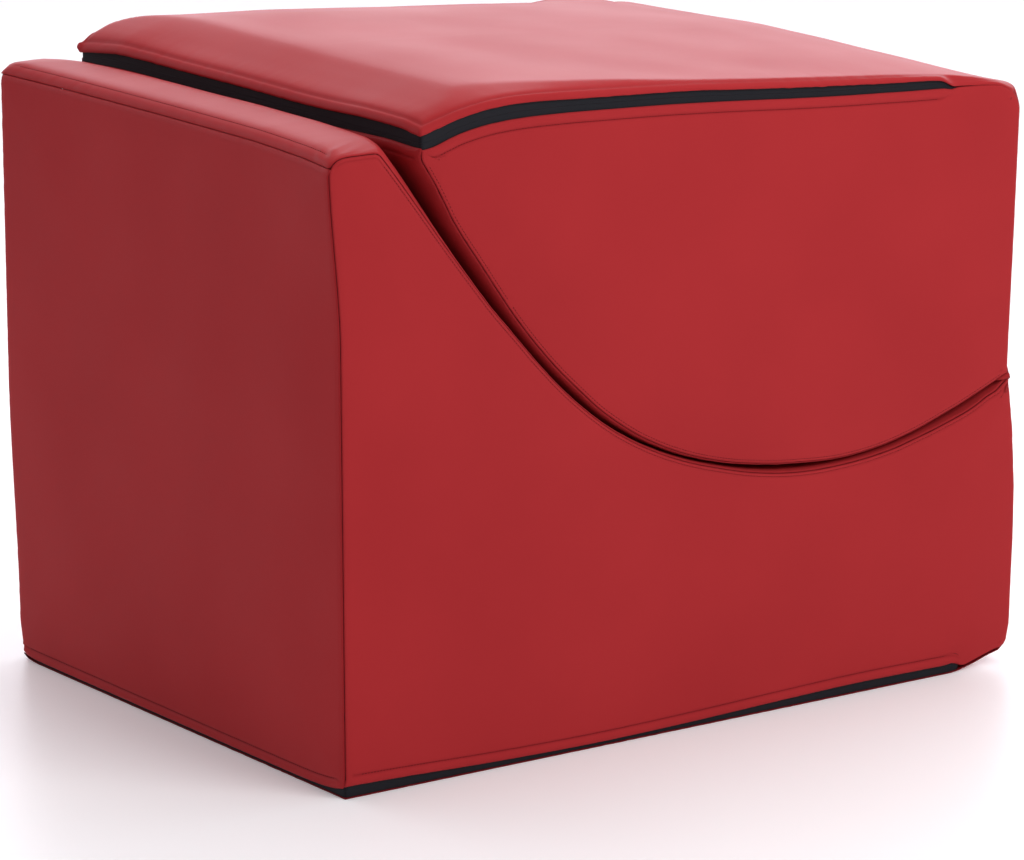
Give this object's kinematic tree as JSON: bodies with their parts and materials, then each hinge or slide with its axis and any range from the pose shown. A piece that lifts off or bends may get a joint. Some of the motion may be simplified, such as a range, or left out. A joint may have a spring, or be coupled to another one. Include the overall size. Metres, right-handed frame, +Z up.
{
  "type": "folding bed",
  "caption": "Foam pouf in artificial leather: a tall base with a wave shaped hollow and a nested section on a sewn hinge that unfolds into a day bed, with zipped covers.",
  "frame": {"origin": "on the floor, under the middle of the closed pouf's length and width", "axes": "+X from the tall wall towards the hinge, +Y across to the side with the zip sliders, +Z up"},
  "size_m": [0.8, 0.6, 0.6623],
  "materials": {
    "cover_red": "satin",
    "zip_tape": "matte",
    "zip_coil": "satin",
    "zip_metal": "gloss",
    "foam": "matte",
    "wadding": "matte"
  },
  "bodies": {
    "base": {"base_foam_core": "foam", "base_seat_wadding": "wadding", "base_near_side": "cover_red", "base_far_side": "cover_red", "base_wall_panel": "cover_red", "base_lounge_panel": "cover_red", "base_end_panel": "cover_red", "base_bottom_panel": "cover_red", "base_zip_upper_tape": "zip_tape", "base_zip_lower_tape": "zip_tape", "base_zip_upper_coil": "zip_coil", "base_zip_lower_coil": "zip_coil", "base_zip_stops": "zip_metal", "hinge_seam_roll": "cover_red"},
    "folding_section": {"fold_foam_core": "foam", "fold_seat_wadding": "wadding", "fold_top_wadding": "wadding", "fold_near_side": "cover_red", "fold_far_side": "cover_red", "fold_lounge_panel": "cover_red", "fold_end_panel": "cover_red", "fold_top_panel": "cover_red", "fold_zip_upper_tape": "zip_tape", "fold_zip_lower_tape": "zip_tape", "fold_zip_upper_coil": "zip_coil", "fold_zip_lower_coil": "zip_coil", "fold_zip_stops": "zip_metal"},
    "base_slider": {"base_zip_slider": "zip_metal"},
    "base_slider_pull": {"base_zip_pull": "zip_metal"},
    "fold_slider": {"fold_zip_slider": "zip_metal"},
    "fold_slider_pull": {"fold_zip_pull": "zip_metal"}
  },
  "joints": [
    {"name": "unfold", "type": "hinge", "parent": "base", "child": "folding_section", "pos_m": [0.397, 0, 0.297], "axis": [0, 1, 0], "range_deg": [0, 173]},
    {"name": "base_zip_run", "type": "slide", "parent": "base", "child": "base_slider", "axis": [-1, 0, 0], "range_m": [0, 0.655]},
    {"name": "base_pull_swing", "type": "hinge", "parent": "base_slider", "child": "base_slider_pull", "pos_m": [0.2895, 0.2988, 0.0077], "axis": [0, 0, -1], "range_deg": [0, 175]},
    {"name": "fold_zip_run", "type": "slide", "parent": "folding_section", "child": "fold_slider", "axis": [-0.9974, 0, 0.0722], "range_m": [0, 0.38]},
    {"name": "fold_pull_swing", "type": "hinge", "parent": "fold_slider", "child": "fold_slider_pull", "pos_m": [0.2895, 0.2988, 0.60467], "axis": [-0.0722, 0, -0.9974], "range_deg": [0, 175]}
  ]
}
